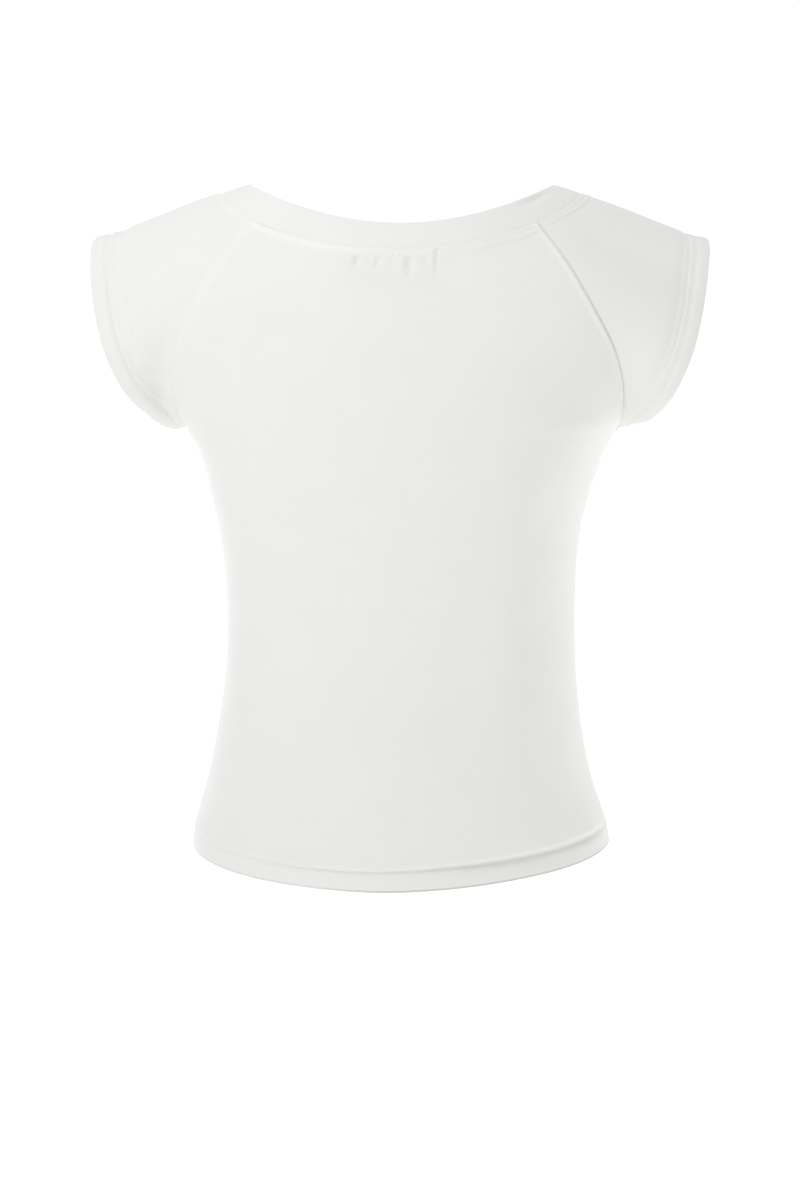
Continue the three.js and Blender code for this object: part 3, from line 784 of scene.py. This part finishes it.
def panel(name, side, creases, material, seed):
    """A body panel with its seams, hem and creases. Returns the piece, and for its stitches the outer grid,
    its normals and the rows' heights above the edge."""
    down, height = panel_rows()
    height = height[:, None]
    middle = panel_points(side, down, even_across(side, down, PANEL_COLUMNS, CROWDING))
    normals = grid_normals(middle, False)
    across = running_length(middle, 1)
    edge = np.minimum(across, across[:, -1:] - across)
    along = across - across[:, -1:] / 2
    below = running_length(middle, 0)
    x, z = middle[..., 0], middle[..., 2]
    left, far_left = ramp(x, -40, 40), ramp(x, 30, 120)

    share, start, rise, fall = (mix(*pair, left) for pair in RAGLAN_LIFT.values())
    seam_height = smooth(EDGE_HEIGHT, "down", "height", np.minimum(down, 2))[:, None] * share
    raglan = raglan_relief(edge, seam_height, start, rise, fall)
    seams = np.maximum(raglan, neck_relief(below, ramp(-x, 10, 50)))
    if side == BACK:
        right, line = ramp(-x, -10, 100), NEEDLE + HEM_RISE * ramp(-x, -60, 60)
        step, spread, fall = (mix(*pair, right) for pair in BACK_HEM.values())
        groove = mix(mix(0.75, 0.3, far_left), 0.2, right)
        seams = seams + pucker_relief(x, below)
    else:
        right, line, groove = 0, NEEDLE, 0.6
        step, spread, fall = FRONT_HEM.values()
    hem = hem_relief(height, line, step, spread, groove, fall) * ramp(edge, 0, mix(34, 14, left))
    large = crease_relief(x, z, creases) + unevenness(x, z, seed, 0.5)
    large = large * ramp(edge, 0, 18) * ramp(below, 0, 20) * ramp(height, 4, 30)
    fold = fold_round(height, FOLD)
    hem_layer = 1 - ramp(height, HEM_DEEP, HEM_DEEP + 1.5)
    out = CLOTH_OUT + seams + hem + large - fold
    inward = mix(CLOTH_IN, HEM_IN, hem_layer) - np.minimum(seams, 0) - large - fold
    outer = middle + out[..., None] * normals
    inner = middle - inward[..., None] * normals

    gather = (
        HEM_GATHER * bell(height, NEEDLE - 3, 5) * (0.6 + 0.4 * np.sin(along / 23 + seed))
        + SEAM_GATHER * bell(below, NECK_STITCH, 2) * ramp(edge, 0, 6)
        + SEAM_GATHER * bell(edge, 1, 1.5)
    )
    # The mark named shade: painted shade on the hem's turned edge and along its line of stitches
    turned = (1 - ramp(height, 0.8, 2.1)) * mix(*TURN_SHADE, ramp(-x, -70, 10))
    pressed = bell(height, line - 0.8 * right, mix(1.1, 3, right)) * ramp(edge, 4, 34)
    pressed = pressed * mix(*LINE_SHADE, right) * mix(1, 0.4, far_left)
    # Painted light: the cloth is made lighter in a strip below the neck seam and beside the wearer's left
    # raglan seam, where the allowance doubles it
    below_neck = ramp(below, 0.6, 2) * (1 - ramp(below, 4, 7.5)) * ramp(x, -20, 60)
    painted_light_where_doubled = np.maximum(below_neck, 0.5 * left * (1 - ramp(edge, 0.5, 4.5)))
    shade = turned + pressed - DOUBLED_CLOTH_PAINTED_LIGHT * painted_light_where_doubled * (1 - ramp(down[:, None], 0.5, 0.9))
    marks = dict(gather=gather + 0 * x, shade=shade)
    flat = np.stack([along, -below], axis=-1)
    return cloth_wall(name, outer, inner, flat, material, marks=marks), outer, normals, height[:, 0]


def sleeve_lines_round(columns):
    """Lines round the sleeve: up the back from the underarm to the shoulder and down the front, evenly
    spread."""
    half = np.linspace(0, 1, columns // 2 + 1)
    back = sleeve_lines(BACK, half)
    front = sleeve_lines(FRONT, half[-2:0:-1])
    share = np.concatenate([half, half[-2:0:-1]])
    return [np.concatenate(pair) for pair in zip(back, front)], share


CUFF_PULL = table(  # how far the left sleeve's opening is pulled out, and how far down each one is
    ("share", "left_x", "left_down", "right_down"),
    (0, 0, 3, -3),
    (0.08, -0.3, 2.5, -2),
    (0.17, -0.8, 0.5, -0.3),
    (0.34, -1.2, 0, 0),
    (0.5, -0.9, 0, 0),
    (0.66, 0, 0, 0),
    (0.82, 1.7, 0, 0),
    (1, 2.2, 0, 0),
)
SEAM_TUCK = 0.7  # how far a sleeve's edge reaches under the body's edge
SLEEVE_HOLLOWS = table(  # how far each sleeve sinks in beside its seam, and beside its hem
    ("share", "left_seam", "left_hem", "right_seam", "right_hem"),
    (0, 0.4, 0, 0, 0),
    (0.14, 4.0, 0.5, 0.8, 0.2),
    (0.3, 5.8, 1.4, 1.2, 0.6),
    (0.45, 3.6, 2.1, 1.0, 1.0),
    (0.6, 1.5, 2.2, 0.8, 1.2),
    (0.84, 0.4, 1.7, 0.6, 1.2),
    (1, 0, 1.0, 0.2, 0.8),
)


def sleeve(worn, material, seed):
    """A raglan cap sleeve, made for the wearer's left and mirrored for the right. Returns what a panel
    does."""
    hand, needle, raw, pressed, drawn, sharp = SLEEVE_OWN[worn].values()
    lines, share = sleeve_lines_round(SLEEVE_COLUMNS)
    if hand > 0:
        lines[1][:, 0] += smooth(CUFF_PULL, "share", "left_x", share)
    lines[1][:, 2] -= smooth(CUFF_PULL, "share", f"{worn}_down", share)
    length = np.linalg.norm(lines[1] - lines[0], axis=-1)
    hem = edge_heights((needle, raw), 22)
    depth = np.minimum(1, CUFF_LIMIT * length / CUFF_DEPTH)
    in_hem = 1 - hem[::-1, None] * depth / length
    to_hem = np.linspace(0, 1, SLEEVE_ROWS + 1 - len(hem))[:-1, None] ** 1.25
    middle = sleeve_points(lines, share, np.concatenate([to_hem * in_hem[0], in_hem]))
    height = np.concatenate([np.full(len(to_hem), 1e3), hem[::-1]])[:, None]
    normals = grid_normals(middle, True)
    from_seam = running_length(middle, 0)
    to_edge = from_seam[-1:] - from_seam
    around = running_length(np.concatenate([middle, middle[:, :1]], axis=1), 1)
    from_underarm = np.minimum(around[:, :-1], around[:, -1:] - around[:, :-1])
    y, z = middle[..., 1], middle[..., 2]

    on_neck = ramp(share, RAGLAN_SHARE - 0.01, RAGLAN_SHARE + 0.01)
    if hand > 0:
        beside = 0.75 * (1 - ramp(from_seam, 0, 6)) * ramp(share, 0.02, 0.15)
    else:
        sunk, reach = mix(0.5, 0.65, ramp(share, 0.1, 0.4)), mix(6, 3.2, ramp(share, 0.2, 0.5))
        beside = -sunk * (1 - ramp(from_seam, 0, reach))
    seam = mix(beside, neck_relief(from_seam, sharp), on_neck)
    underarm = -0.6 * bell(from_underarm, 0, 1.1)
    beside_seam = smooth(SLEEVE_HOLLOWS, "share", f"{worn}_seam", share)
    beside_hem = smooth(SLEEVE_HOLLOWS, "share", f"{worn}_hem", share) * ramp(length, 20, 50)
    turned = cuff_relief(to_edge / depth, needle, raw, pressed, drawn, beside_hem) * depth
    turned = turned * ramp(from_seam, 0, 10)
    far = np.maximum(34, 0.85 * length)
    trough = ramp(from_seam, 0, 0.4 * far) * (1 - ramp(from_seam, 0.45 * far, far)) * ramp(to_edge, 3, 18)
    large = unevenness(1.3 * y, z, seed, 0.4) * ramp(height, 4, 24) * ramp(from_seam, 0, 14)
    large = large - beside_seam * trough
    fold = fold_round(height, FOLD)
    hem_layer = (1 - ramp(height, raw, raw + 1.5)) * depth
    out = CLOTH_OUT + seam + underarm + turned + large - fold
    inward = mix(CLOTH_IN, HEM_IN, hem_layer) - np.minimum(seam, 0) - underarm - large - fold
    tucked = SEAM_TUCK * (1 - ramp(from_seam, 0, 1.6))[..., None] * unit(np.gradient(middle, axis=0))
    outer = middle + out[..., None] * normals - tucked
    inner = middle - inward[..., None] * normals - tucked

    gather = 2 * SEAM_GATHER * bell(from_seam, 1.5, 2.5) + HEM_GATHER * bell(height, needle - 1, 3) + 0 * y
    # The mark named shade: on the left sleeve painted light where the allowance doubles the cloth beside its
    # raglan and neck seams, and painted shade along its cuff's line of stitches; on the right sleeve painted
    # shadow beside its raglan seam
    if hand > 0:
        on_raglan = SLEEVE_PAINTED_LIGHT[0] * (1 - ramp(from_seam, 2, 6))
        painted_light_where_doubled = mix(on_raglan, SLEEVE_PAINTED_LIGHT[1] * (1 - ramp(from_seam, 4, 7.5)), on_neck)
        line = CUFF_SHADE * bell(to_edge / depth, needle + 0.6, 1.3) * ramp(share, 0.1, 0.4)
        shade = line * (1 - ramp(share, 0.6, 0.95)) - painted_light_where_doubled * ramp(share, 0.35, 0.6)
    else:
        shade = SEAM_SHADE * (1 - ramp(from_seam, 0.8, 3.4)) * (1 - on_neck)
        shade = shade * mix(0.4, 1, ramp(share, 0.1, 0.35))
    flat = np.stack([around, np.concatenate([from_seam, from_seam[:, :1]], axis=1)], axis=-1)
    if hand < 0:
        outer, inner, normals = (mirrored(grid, (-1, 1, 1)) for grid in (outer, inner, normals))
        gather, shade = mirrored(gather), mirrored(shade)
        flat = flat[:, ::-1]
    marks = dict(gather=gather, shade=shade)
    piece = cloth_wall(f"sleeve_{worn}_cloth", outer, inner, flat, material, closed=True, marks=marks)
    return piece, outer, normals, height[:, 0]


def mirrored(grid, sign=1):
    """A ring of points or values on the other side of the shirt, its first column still the first."""
    return np.roll(grid[:, ::-1], 1, axis=1) * sign


BAND_ROLLS = ((104, 0.6), (-111.5, 2.2))  # where, and how far, the back of the band curls in under its fold


def band_profile():
    """The folded band's cross-section as a closed loop of (share of its height, distance out): up the outer
    face from the seam allowance hidden under the body, over the fold on a half circle, and down the inner
    face."""
    half = 1.0
    outer_f = np.concatenate([[-0.16, -0.08], np.linspace(0, 1, 25) ** 1.2])
    outer_out = half + 0.35 * np.sin(np.pi * np.clip(outer_f, 0, 1)) - 0.8 * (1 - ramp(outer_f, -0.1, 0.05))
    turn = np.linspace(0, np.pi, 9)[1:-1]
    fold_f, fold_out = 1 + 0.045 * np.sin(turn), half * np.cos(turn)
    inner_f = np.concatenate([np.linspace(1, 0, 15), [-0.08, -0.16]])
    inner_out = -half - 0.2 * np.sin(np.pi * np.clip(inner_f, 0, 1)) - 0.6 * (1 - ramp(inner_f, -0.02, 0.08))
    return np.concatenate([outer_f, fold_f, inner_f]), np.concatenate([outer_out, fold_out, inner_out])


def band_ring(name, material):
    """The neckband: its profile carried round the ring between the neck seam and the neckline."""
    angle = np.linspace(0, 2 * np.pi, BAND_COLUMNS, endpoint=False)
    low, high = neck_point(NECK_SEAM, angle), neck_point(NECKLINE, angle)
    f, out = band_profile()
    middle = low + f[:, None, None] * (high - low)
    face = grid_normals(np.stack([low, high]), True)[0]
    x = low[None, :, 0]
    rolled = sum(deep * bell(x, at, 12) for at, deep in BAND_ROLLS) * bell(f, 0.82, 0.14)[:, None]
    points = middle + (out[:, None] - rolled * ramp(np.sin(angle), 0.2, 0.5))[..., None] * face
    numbers = np.arange(len(f) * BAND_COLUMNS).reshape(-1, BAND_COLUMNS)
    faces, places = grid_faces(numbers, True)
    closing, closing_places = grid_faces(numbers[[-1, 0]], True)
    around = running_length(whole(low, True)[None], 1)[0]
    tall = running_length(points[:, :1], 0)[:, 0]
    flat = np.stack(np.broadcast_arrays(around[None, :], tall[:, None]), axis=-1)
    closing_uv = flat[closing_places[:, :, 0] * 0, closing_places[:, :, 1]]
    face_uv = [flat[places[:, :, 0], places[:, :, 1]], closing_uv]
    return mesh_object(name, points.reshape(-1, 3), [faces, closing], face_uv, material)


def label_tape(name, material):
    """The blank label: a small tape on the inside of the back. Its lower corners curl to the inside by
    1.4 |u|^5 v^2, and its lower edge waves by 0.5 sin(2.3 u + 0.6) v^2, u going from -1 to 1 across it and v
    from 0 to 1 down it."""
    columns, rows = 65, 33
    wide, tall = LABEL["width"], LABEL["height"]
    first, second = YOKE[BACK]["mid_z"][:2], YOKE[BACK]["mid_y"][:2]
    per_mm = YOKE[BACK]["t"][1] / np.hypot(first[1] - first[0], second[1] - second[0])
    down = (LABEL["below"] + np.linspace(0, tall, rows)) * per_mm
    span = section(BACK, down)
    reach = (1 - span["cut"] ** span["square"]) ** (1 / span["square"])
    end = np.arcsin(wide / 2 / span["edge_x"] * reach) / np.arcsin(reach)
    u, v = np.linspace(-1, 1, columns)[None, :], np.linspace(0, 1, rows)[:, None]
    middle = panel_points(BACK, down, end[:, None] * u)
    normals = grid_normals(middle, False)
    curl = 1.4 * np.abs(u) ** 5 * v**2 + 0.5 * np.sin(2.3 * u + 0.6) * v**2
    behind = LABEL["inside"] + curl
    outer = middle - behind[..., None] * normals
    inner = outer - LABEL["thick"] * normals
    flat = np.stack(np.broadcast_arrays(u * wide / 2, -v * tall), axis=-1)
    return cloth_wall(name, outer, inner, flat, material)


# ------------------------------------------------- stitching
def along_line(points, normals, pitch, start=0.5):
    """Places every pitch millimetres along a line of points, with the line's direction and its normal
    there."""
    length = running_length(points[None], 1)[0]
    at = np.arange(start * pitch, length[-1], pitch)

    def pick(values, where):
        """The line's values at lengths along it."""
        return np.stack([np.interp(where, length, values[:, k]) for k in range(3)], axis=-1)

    direction = unit(pick(points, at + 0.2) - pick(points, at - 0.2))
    return pick(points, at), direction, unit(pick(normals, at))


SINK = 0.35  # how far a stitch's ends go into the cloth
STITCH_RINGS, STITCH_SIDES = 7, 6


def stitches(name, places, long, thick, proud, material):
    """Rows of stitches as one mesh. Each is a thread along its direction d, round in section with radius
    thick / 2, on an arch proud (1 - s^2) - SINK s^4 above the cloth, s going from -1 to 1 along it."""
    at, direction, normal = (np.concatenate(parts) for parts in zip(*places))
    s = np.linspace(-1, 1, STITCH_RINGS)
    turn = np.linspace(0, 2 * np.pi, STITCH_SIDES, endpoint=False)
    aside = np.cross(direction, normal)
    arch = proud * (1 - s**2) - SINK * s**4
    centre = at[:, None] + 0.5 * long * s[:, None] * direction[:, None] + arch[:, None] * normal[:, None]
    radius = 0.5 * thick * np.sqrt(np.maximum(0.12, 1 - s**6))
    ring = np.cos(turn)[:, None] * aside[:, None, None] + np.sin(turn)[:, None] * normal[:, None, None]
    points = centre[:, :, None] + radius[:, None, None] * ring
    numbers = np.arange(STITCH_RINGS * STITCH_SIDES).reshape(STITCH_RINGS, STITCH_SIDES)
    tube, places_on = grid_faces(numbers, True)
    shift = np.arange(len(at))[:, None, None] * numbers.size
    tubes = (tube[None] + shift).reshape(-1, 4)
    caps = np.stack([numbers[0][::-1], numbers[-1]])
    caps = (caps[None] + shift).reshape(-1, STITCH_SIDES)
    flat = np.stack(np.broadcast_arrays(turn[None, :] * thick / 2, (s * long / 2)[:, None]), axis=-1)
    flat = np.concatenate([flat, flat[:, :1] + (np.pi * thick, 0)], axis=1)
    tube_uv = np.tile(flat[places_on[:, :, 0], places_on[:, :, 1]], (len(at), 1, 1))
    cap_uv = np.zeros((len(caps), STITCH_SIDES, 2))
    return mesh_object(name, points.reshape(-1, 3), [tubes, caps], [tube_uv, cap_uv], material)


def zigzag(outer, normals, low, high, pitch, columns):
    """Places of the stitches of a zigzag between two rows of points, over a run of columns, each half a
    pitch from the next: the middle of each, the direction across from row to row, and the cloth's
    normal."""
    ends = []
    for k, row in enumerate((low, high)):
        at, _, normal = along_line(outer[row, columns], normals[row, columns], pitch, 0.5 + 0.5 * k)
        ends.append((at, normal))
    count = min(len(ends[0][0]), len(ends[1][0]))
    (a, a_normal), (b, b_normal) = ((at[:count], normal[:count]) for at, normal in ends)
    start = np.concatenate([a, b[:-1]])
    end = np.concatenate([b, a[1:]])
    normal = unit(np.concatenate([a_normal + b_normal, b_normal[:-1] + a_normal[1:]]))
    return (start + end) / 2, unit(end - start), normal


def needle_row(outer, normals, height, needle, closed):
    """Places of the straight stitches of a hem, on the outer cloth along the needle's row of points."""
    row = nearest(height, needle)
    return along_line(whole(outer[row], closed), whole(normals[row], closed), NEEDLE_PITCH)


NEEDLE_PITCH, ZIGZAG_PITCH = 2.9, 4.6
NEEDLE_STITCH = dict(long=2.3, thick=0.26, proud=0.06, material=THREAD)
ZIGZAG_STITCH = dict(long=6.2, thick=0.5, proud=0.3, material=BRIGHT_THREAD)
ZIGZAG_DEPTHS = 1.1, 6.6  # how far below the neck seam the zigzag's two rows lie
LABEL_SEWN = -30, 6  # where along x the zigzag shows on the back

back, back_outer, back_normals, panel_height = panel("back_cloth", BACK, BACK_CREASES, BACK_JERSEY, 11)
front, front_outer, front_normals, _ = panel("front_cloth", FRONT, FRONT_CREASES, JERSEY, 23)
sleeves = {worn: sleeve(worn, JERSEY, 5) for worn in SLEEVE_OWN}
band = band_ring("neckband_cloth", JERSEY)
tape = label_tape("neck_label_tape", TAPE)

hem_thread = stitches(
    "hem_stitches",
    [
        needle_row(back_outer, back_normals, panel_height, NEEDLE, False),
        needle_row(front_outer, front_normals, panel_height, NEEDLE, False),
    ],
    **NEEDLE_STITCH,
)
cuff_threads = [
    stitches(
        f"sleeve_{worn}_hem_stitches",
        [needle_row(outer, normals, cuff_height, SLEEVE_OWN[worn]["needle"], True)],
        **NEEDLE_STITCH,
    )
    for worn, (_, outer, normals, cuff_height) in sleeves.items()
]
for piece, node, slot in (
    (back, "back_panel", "jersey"),
    (front, "front_panel", "jersey"),
    (sleeves["left"][0], "sleeve_left", "jersey"),
    (sleeves["right"][0], "sleeve_right", "jersey"),
    (band, "neckband", "band_jersey"),
    (tape, "neck_label", "label_tape"),
):
    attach(piece, "root")
    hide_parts(node)
below_seam = running_length(back_outer, 0)[:, PANEL_COLUMNS // 2]
neck_rows = [nearest(below_seam, depth) for depth in ZIGZAG_DEPTHS]
seam_x = back_outer[neck_rows[0], :, 0]
sewn_label = slice(*(nearest(seam_x, x) for x in LABEL_SEWN))
neck_thread = stitches(
    "neck_seam_stitches",
    [
        zigzag(back_outer, back_normals, *neck_rows, ZIGZAG_PITCH, sewn_label),
        zigzag(front_outer, front_normals, *neck_rows, ZIGZAG_PITCH, slice(12, -12)),
    ],
    **ZIGZAG_STITCH,
)
for piece in (hem_thread, neck_thread, *cuff_threads):
    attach(piece, "root")


# ----------------------------------- floor, light and camera
def studio_floor(z, radius):
    """A plain pale floor: a disc of rings r = radius (i / n)^2 round the shirt."""
    rings, sides = 24, 72
    ring = np.linspace(0, 1, rings)[:, None] ** 2 * radius
    turn = np.linspace(0, 2 * np.pi, sides, endpoint=False)
    points = xyz(ring * np.cos(turn), ring * np.sin(turn), z + 0 * ring * turn)
    faces, places = grid_faces(np.arange(rings * sides).reshape(rings, sides), True)
    flat = np.zeros((*places.shape[:2], 2))
    material, _, _ = new_material(
        "pale_floor",
        Base_Color=(0.8, 0.8, 0.8, 1),
        Roughness=0.9,
        Emission_Color=(1, 1, 1, 1),
        Emission_Strength=0.4065,
    )
    mesh_object("floor", points.reshape(-1, 3), [faces[:, ::-1]], [flat], material)


def soft_world(lobes):
    """Soft light from all round: the sum of strength max(0, d . towards)^2 in each direction d."""
    world = bpy.data.worlds.new("soft_studio")
    bpy.context.scene.world = world
    world.use_nodes = True
    tree = world.node_tree
    place = add(tree, "ShaderNodeTexCoord").outputs["Generated"]
    total = 0.0
    for towards, strength in lobes:
        turned = add(tree, "ShaderNodeVectorMath", _0=place, _1=towards)
        turned.operation = "DOT_PRODUCT"
        lobe = calculate(tree, "POWER", calculate(tree, "MAXIMUM", turned.outputs["Value"], 0.0), 2.0)
        total = calculate(tree, "MULTIPLY_ADD", lobe, strength, total)
    sky = tree.nodes["Background"]
    sky.inputs["Color"].default_value = (1, 1, 1, 1)
    tree.links.new(total, sky.inputs["Strength"])


def softbox(name, place, aim, width, height, power, colour=(1, 1, 1)):
    """A rectangular area light."""
    data = bpy.data.lights.new(name, "AREA")
    data.shape = "RECTANGLE"
    data.size = width
    data.size_y = height
    data.energy = power
    data.color = colour
    lamp = bpy.data.objects.new(name, data)
    lamp.location = place
    lamp.rotation_euler = (Vector(aim) - Vector(place)).to_track_quat("-Z", "Y").to_euler()
    lamp.visible_camera = False
    bpy.context.scene.collection.objects.link(lamp)


def camera(azimuth, elevation, distance, target, lens):
    """A camera looking at target from (sin a cos e, -cos a cos e, sin e) times distance."""
    data = bpy.data.cameras.new("camera")
    data.lens = lens
    data.sensor_width = 36
    data.clip_end = 100
    a, e = np.radians(azimuth), np.radians(elevation)
    back_away = Vector((np.sin(a) * np.cos(e), -np.cos(a) * np.cos(e), np.sin(e)))
    eye = bpy.data.objects.new("camera", data)
    eye.location = Vector(target) + distance * back_away
    eye.rotation_euler = (-back_away).to_track_quat("-Z", "Y").to_euler()
    bpy.context.scene.collection.objects.link(eye)
    bpy.context.scene.camera = eye


studio_floor(z=-900, radius=14000)
# The view's own axes: towards its right, towards the eye, and up.
RIGHT, NEAR, UP = (-0.9962, -0.0872, 0), (-0.0863, 0.9865, 0.1392), (0.0121, -0.1386, 0.9903)
soft_world([
    (RIGHT, 0.409),
    (tuple(-v for v in RIGHT), 0.46),
    (UP, 0.92),
    (NEAR, 0.67),
    (tuple(-v for v in NEAR), 1.08),
])
softbox("key", (0.5, 0.75, 0.8), (0, 0, -0.1), 0.6, 0.6, 4.9, (0.95, 0.955, 1))
softbox("right_strip", (-1.25, -0.75, -0.55), (0, 0, -0.35), 0.4, 1.6, 7.6)
softbox("left_strip", (1.05, -1.08, -0.4), (0, 0, -0.3), 0.4, 1.5, 6.3, (0.92, 0.93, 1))
camera(azimuth=185, elevation=8, distance=2.2, target=(0.00072, 0, -0.2906), lens=92.5)
bpy.context.scene.view_settings.view_transform = "Standard"
